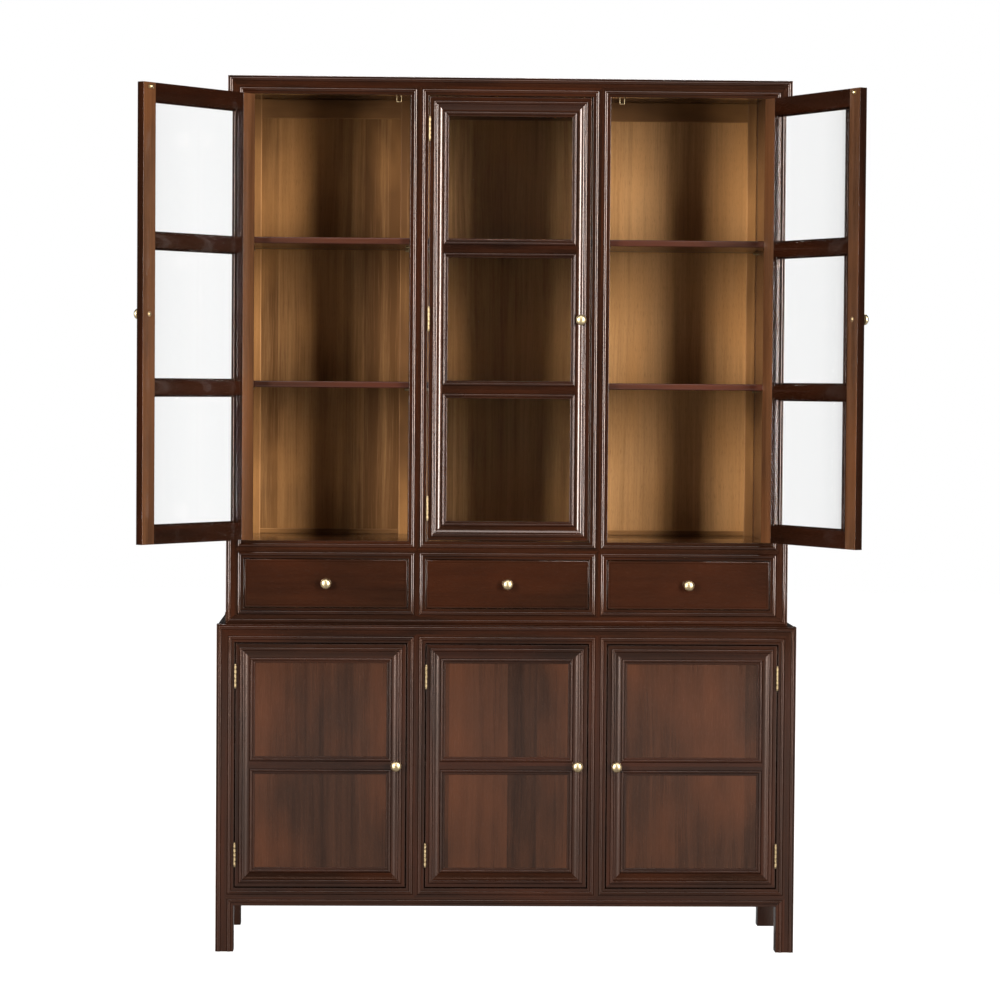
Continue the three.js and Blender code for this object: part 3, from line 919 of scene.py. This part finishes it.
def shelves():
    """Six shelves with a rounded front edge, each on four brass pins."""
    for bay in BAYS:
        for tier in ("lower", "upper"):
            name = f"shelf_{bay}_{tier}"
            low, high = span(name)
            stand_in(name, [board(low, high, RIGHT, radius=0.003)], "shelf_wood")
            pins = [
                turned(SHELF_PIN, (x, y, low[2] - PIN_BELOW), away, 12, DULL)
                for x, away in ((low[0] - PIN_SUNK, RIGHT), (high[0] + PIN_SUNK, LEFT))
                for y in (low[1] + PIN_BEHIND_FRONT, high[1] - PIN_BEFORE_REAR)
            ]
            make(f"{name}_pins", pins, "brass")


case_boards()
for row in ("base", "hutch"):
    for side, sign in (("left", -1), ("right", 1)):
        side_frame(row, side, sign)
hutch_back()
shelves()

# ---- doors ----


def lights_of(door, count):
    """The openings of a door, from the bottom: equal lights with a bar between each pair."""
    sight = door.inset(SASH_OUTER + SASH_INNER)
    clear = (sight.z1 - sight.z0 - (count - 1) * BAR) / count
    starts = sight.z0 + np.arange(count) * (clear + BAR)
    return [Rect(sight.x0, sight.x1, z, z + clear) for z in starts]


def sash(door, face, sheet, count):
    """A door frame: four outer sticks mitred at the corners, an inner bead mitred round every
    light, bars made of the halves between lights, and a flat back with its own mitres."""
    groove_back = REBATE_FRONT + sheet + 2 * TOUCH
    lip = SASH_OUTER + SASH_INNER - SASH_BACK
    outer_cut = sash_outer_section(DOOR_THICKNESS)
    ends = ("top", "bottom")
    uprights = edges(face, outer_cut, *((door, side) for side in SIDES), inward=True)
    crosswise = edges(face, outer_cut, *((door, side) for side in ends), inward=True)
    inner_cut = sash_inner_section(SASH_INNER, groove_back)
    inner_cut[:, 2] = np.where(inner_cut[:, 0] < REBATE_OVERLAP, REBATE_FRONT, groove_back)
    bar_cut = sash_inner_section(BAR / 2, REBATE_FRONT)
    back_cut = section(DOOR_THICKNESS, level(lip, SASH_INNER, groove_back))
    lights = lights_of(door, count)
    for index, light in enumerate(lights):
        uprights += edges(face, inner_cut, *((light, side) for side in SIDES))
        for side, at_end in (("bottom", index == 0), ("top", index == count - 1)):
            cut, reach = (inner_cut, 1.0) if at_end else (bar_cut, SASH_INNER)
            crosswise.append(edge_stick(light, side, face, cut, reach=reach))
    sight = door.inset(SASH_OUTER + SASH_INNER)
    uprights += edges(face, back_cut, *((sight, side) for side in SIDES))
    crosswise += edges(face, back_cut, *((sight, side) for side in ends))
    for below, above in zip(lights, lights[1:]):
        low = (door.x0 + SASH_BACK, face + groove_back, below.z1 + lip)
        high = (door.x1 - SASH_BACK, face + DOOR_THICKNESS, above.z0 - lip)
        crosswise.append(board(low, high, RIGHT))
    return uprights + crosswise


def sheen_facings(door, face):
    """Thin facings of paler wood on the backs of the two stiles, proud of them by PROUD: a painted
    sheen where light catches the stiles' grain.
    """
    back = face + DOOR_THICKNESS + PROUD
    heights = (door.z0 + PROUD, door.z1 - PROUD)
    return [
        block((x0 + PROUD, x1 - PROUD), (back - LINING, back), heights, UP)
        for x0, x1 in ((door.x0, door.x0 + SASH_BACK), (door.x1 - SASH_BACK, door.x1))
    ]


def knob(centre_x, face, z):
    """A flattened ball on a waisted neck and a stepped rose, turned in brass: the ball is
    (BALL_RADIUS sin t, BALL_OUT + BALL_HALF cos t), from the neck to a small flat at its crown."""
    turn = np.linspace(math.radians(155), math.radians(4), 14)
    ball = np.column_stack([BALL_RADIUS * np.sin(turn), BALL_OUT + BALL_HALF * np.cos(turn)])
    return turned(np.concatenate([KNOB_ROSE, KNOB_NECK, ball]), (centre_x, face, z), OUT, 32)


KNUCKLES = 5
NECK_SHARE = 0.6
KNUCKLE_GAP = 0.0002
KNUCKLE_NECK = 0.0012  # length of the turned-down ends
KNUCKLE_SHOULDER = 0.0020
LEAF = 0.0007
LEAF_DEPTH = 0.019


def hinge_parts(pin_x, face, z, outward_sign):
    """One butt hinge. Five knuckles share the pin; the leaf at the post has the first, third and
    fifth, the leaf at the door the other two, and the pin ends in two small finials."""
    pitch = HINGE_LENGTH / KNUCKLES
    pin_y = face - PIN_OUT
    low, high = z - HINGE_LENGTH / 2, z + HINGE_LENGTH / 2
    neck = NECK_SHARE * HINGE_RADIUS
    half = [(neck, KNUCKLE_GAP), (neck, KNUCKLE_NECK), (HINGE_RADIUS, KNUCKLE_SHOULDER)]
    shape = half + [(radius, pitch - out) for radius, out in reversed(half)]
    post_side, door_side = [], []
    for k in range(KNUCKLES):
        knuckle = turned(shape, (pin_x, pin_y, low + k * pitch), UP, 16, DULL)
        (post_side if k % 2 == 0 else door_side).append(knuckle)
    for end, way in ((high, UP), (low, DOWN)):
        post_side.append(turned(HINGE_TIP, (pin_x, pin_y, end), way, 12, DULL))
    opening_edge = pin_x - outward_sign * PIN_IN
    for solids, near in ((post_side, KNUCKLE_GAP), (door_side, DOOR_GAP - KNUCKLE_GAP - LEAF)):
        xs = [opening_edge + outward_sign * x for x in (near, near + LEAF)]
        zs = (low + 0.0005, high - 0.0005)
        solids.append(block(xs, (pin_y + 0.001, face + LEAF_DEPTH), zs, UP, radius=THIN_EASE))
    return post_side, door_side


PLATE_HALF, PLATE = 0.009, 0.0008  # half a catch plate's length, and its thickness
PLATE_SUNK = 0.0005  # how far the catch's ball starts inside its plate


def catch(x, back, z):
    """A ball catch let into the inside of the door near its top corner: plate and ball."""
    xs, zs = (x - PLATE_HALF, x + PLATE_HALF), (z - PLATE_HALF / 2, z + PLATE_HALF / 2)
    plate = block(xs, (back, back + PLATE), zs, RIGHT, radius=THIN_EASE)
    return [plate, turned(CATCH_BALL, (x, back + PLATE_SUNK, z), INTO, 14)]


STRIKE_CLEAR = 0.0065  # behind the door, past the ball of its catch
STRIKE_DROP = 0.015
STRIKE_HALF = 0.0062
STRIKE_WIDE = 0.008
STRIP = 0.0014


def strike(x, front, z):
    """The strike under the head that a door's ball catch meets: a strip bent to a U."""
    low, ys = z - STRIKE_DROP, (front, front + STRIKE_WIDE)
    x0, x1 = x - STRIKE_HALF, x + STRIKE_HALF
    zs = (low + STRIP, z - TOUCH)
    pieces = [
        block((x0, x1), ys, (low, low + STRIP), RIGHT, radius=THIN_EASE),
        block((x0, x0 + STRIP), ys, zs, UP, radius=THIN_EASE),
        block((x1 - STRIP, x1), ys, zs, UP, radius=THIN_EASE),
    ]
    for piece in pieces:
        piece.wear_and_shade[:] = DULL
    return pieces


def hang(row, bay, opening, face, offsets, sheet, count):
    """One door, with its frame, sheet, knob, hinges and catch."""
    door = opening.inset(DOOR_GAP)
    body = f"{row}_door_{bay}"
    stand_in(f"{body}_frame", sash(door, face, sheet, count), body=body)
    # paler facings paint the sheen on the backs of the stiles
    make(f"{body}_lippings", sheen_facings(door, face), "pale_lining_and_sheen_wood", body)
    pane = door.inset(SASH_OUTER + SASH_INNER - REBATE_OVERLAP + TOUCH)
    front = face + REBATE_FRONT + TOUCH
    if row == "hutch":
        ys = (front, front + sheet)
        glazing = block((pane.x0, pane.x1), ys, (pane.z0, pane.z1), UP, radius=0.0002)
        stand_in(f"{body}_glass", [glazing], "glass", body)
    else:
        arris = np.array([[0.0, 0.0003, 0.0], [0.0003, 0.0, 0.0]])
        panels = slab(pane, front, front + sheet, arris, UP, 0.2)
        stand_in(f"{body}_panel", [panels], "panel_wood", body)
    middle = (opening.z0 + opening.z1) / 2
    back = face + DOOR_THICKNESS
    if HUNG_ON[bay] == "left":
        sign, pin_x, free = 1, opening.x0 + PIN_IN, door.x1
    else:
        sign, pin_x, free = -1, opening.x1 - PIN_IN, door.x0
    knob_x, catch_x = free - sign * KNOB_INSET, free - sign * CATCH_INSET
    stand_in(f"{body}_knob", [knob(knob_x, face + KNOB_SEAT, middle)], "brass", body)
    screw = turned(SCREW_HEAD, (knob_x, back, middle), INTO, 16)
    make(f"{body}_knob_screw", [screw], "brass", body)
    fixed, moving = [], []
    for offset in offsets:
        on_post, on_door = hinge_parts(pin_x, face, middle + offset, sign)
        fixed += on_post
        moving += on_door
    make(f"{body}_hinge_post_leaves", fixed, "brass")
    make(f"{body}_hinge_door_leaves", moving, "brass", body)
    make(f"{body}_catch", catch(catch_x, back, door.z1 - CATCH_DROP), "brass", body)
    if row == "hutch":
        make(f"{body}_strike", strike(catch_x, back + STRIKE_CLEAR, opening.z1), "brass")


for bay in BAYS:
    hang("hutch", bay, displays[bay], HUTCH_FRONT, HUTCH_HINGES, GLASS, 3)
    hang("base", bay, base_lights[bay], BASE_FRONT, BASE_HINGES, BOARDING, 2)

# ---- drawers ----

DRAWER_SUNK = 0.0006  # a drawer front's face, behind its node's
DRAWER_WALL = 0.012
DRAWER_BOTTOM = 0.006
BOTTOM_UP = 0.004  # from the walls' lower edges to the bottom


def drawers():
    """Flat drawer fronts with a fine line round the edge, on boxes of four walls with a bottom set
    between them.
    """
    # the fine line is a quirk, with shade painted darker at its bottom
    line = [level(0.0014, 0.0040, 0.0), quirk(0.0052, 0.0), level(0.0064, 0.0070, 0.0)]
    edge = np.concatenate([ease(0, 0.0, 0.0010), *line])
    for bay in BAYS:
        body = f"drawer_{bay}"
        low, high = span(f"{body}_front")
        face = low[1] + DRAWER_SUNK
        front = slab(Rect(low[0], high[0], low[2], high[2]), face, high[1], edge, RIGHT)
        stand_in(f"{body}_front", [front], body=body)
        centre = np.mean(span(f"{body}_knob"), axis=0)
        stand_in(f"{body}_knob", [knob(centre[0], face, centre[2])], "brass", body)
        (x0, y0, z0), (x1, y1, z1) = span(f"{body}_box")
        inner_x = (x0 + DRAWER_WALL, x1 - DRAWER_WALL)
        inner_y = (y0 + DRAWER_WALL, y1 - DRAWER_WALL)
        bottom = z0 + BOTTOM_UP
        box = [
            block((x0, inner_x[0]), (y0, y1), (z0, z1), INTO),
            block((inner_x[1], x1), (y0, y1), (z0, z1), INTO),
            block(inner_x, (y0, inner_y[0]), (z0, z1), RIGHT),
            block(inner_x, (inner_y[1], y1), (z0, z1), RIGHT),
            block(inner_x, inner_y, (bottom, bottom + DRAWER_BOTTOM), RIGHT),
        ]
        stand_in(f"{body}_box", box, "drawer_wood", body)


drawers()

# ---- floor, light and camera ----

WHITE = (1, 1, 1, 1)
CROSSINGS = 3.5  # a ray that has met at most this many faces has crossed one pane at most
FLOOR_HALF = 14.0


def seen_white(tree):
    """1 for a ray that comes straight from the eye, or through a pane of one open door, else 0."""
    path = node(tree, "LightPath").outputs
    near = maths(tree, "LESS_THAN", path["Ray Depth"], CROSSINGS)
    through = maths(tree, "MULTIPLY", path["Is Transmission Ray"], near)
    return maths(tree, "MAXIMUM", path["Is Camera Ray"], through)


def plain_floor():
    """A pale floor, softly mottled, under and around the cabinet."""
    corners = [(x * FLOOR_HALF, y * FLOOR_HALF, 0) for x, y in ((-1, -1), (1, -1), (1, 1), (-1, 1))]
    mesh = bpy.data.meshes.new("floor")
    mesh.from_pydata(corners, [], [(0, 1, 2, 3)])
    material, tree = blank("pale_floor")
    spots = mottle(tree, 2.0, 3.0)
    inputs = {
        "Base Color": mixed(tree, spots, (0.21, 0.21, 0.21, 1.0), (0.24, 0.24, 0.24, 1.0)),
        "Roughness": 0.7,
        "Emission Color": WHITE,
        "Emission Strength": seen_white(tree),
    }
    surface(tree, node(tree, "BsdfPrincipled", inputs))
    mesh.materials.append(material)
    floor = put("floor", mesh)


def softbox(name, place, aim, width, height, power):
    """A rectangular area light that faces a point."""
    data = bpy.data.lights.new(name, "AREA")
    data.shape, data.size, data.size_y, data.energy = "RECTANGLE", width, height, power
    back = np.array(place, float) - np.array(aim, float)
    back /= np.linalg.norm(back)
    side = np.cross(UP, back)
    side /= np.linalg.norm(side)
    turn = Matrix(np.column_stack([side, np.cross(back, side), back]).tolist()).to_4x4()
    put(name, data).matrix_world = Matrix.Translation(place) @ turn


LIGHT_AWAY, LIGHT_UP = 9.0, 3.0
BOX_WIDE, BOX_TALL = 2.1, 5.6
FRONT_BOXES = (("softbox_left", -38.0, 1300), ("softbox_right", 35.5, 1350))
FRONT_AIM, CENTRE = (0, 0, 1.4), (0, 0, 1.2)


def studio():
    """Two tall softboxes at the front corners, a weak one above the front and one high behind,
    and a white surround that lights only dimly, but shows white to the eye, through a pane too."""
    for name, turn, power in FRONT_BOXES:
        turn = math.radians(turn)
        place = (LIGHT_AWAY * math.sin(turn), -LIGHT_AWAY * math.cos(turn), LIGHT_UP)
        softbox(name, place, FRONT_AIM, BOX_WIDE, BOX_TALL, power)
    softbox("softbox_top", (0, -3.4, 6.0), CENTRE, 3.0, 1.4, 80)
    softbox("softbox_rear", (0, 5.6, 5.4), CENTRE, 3.0, 2.0, 300)
    world = bpy.data.worlds.new("surround")
    bpy.context.scene.world = world
    world.use_nodes = True
    tree = world.node_tree
    tree.nodes.clear()
    dim, bright = (
        node(tree, "Background", {"Color": WHITE, "Strength": strength}).outputs[0]
        for strength in (0.012, 1.0)
    )
    both = node(tree, "MixShader", {0: seen_white(tree), 1: dim, 2: bright})
    node(tree, "OutputWorld", {"Surface": both.outputs[0]})
    bpy.context.scene.view_settings.view_transform = "Standard"


EYE = (-0.25697, -8.10815, 1.3961)
YAW, DIP, ROLL = (math.radians(angle) for angle in (1.893, 2.025, 0.438))
SENSOR, LENS, FAR = 36.0, 118.92, 60.0


def camera():
    """Eye-level camera, a little left of the cabinet's centre line, with a long lens."""
    data = bpy.data.cameras.new("camera")
    data.sensor_width, data.lens, data.clip_end = SENSOR, LENS, FAR
    view = put("camera", data)
    view.matrix_world = (
        Matrix.Translation(EYE)
        @ Matrix.Rotation(-YAW, 4, "Z")
        @ Matrix.Rotation(math.pi / 2 - DIP, 4, "X")
        @ Matrix.Rotation(ROLL, 4, "Z")
    )
    bpy.context.scene.camera = view


plain_floor()
studio()
camera()

bpy.context.view_layer.update()
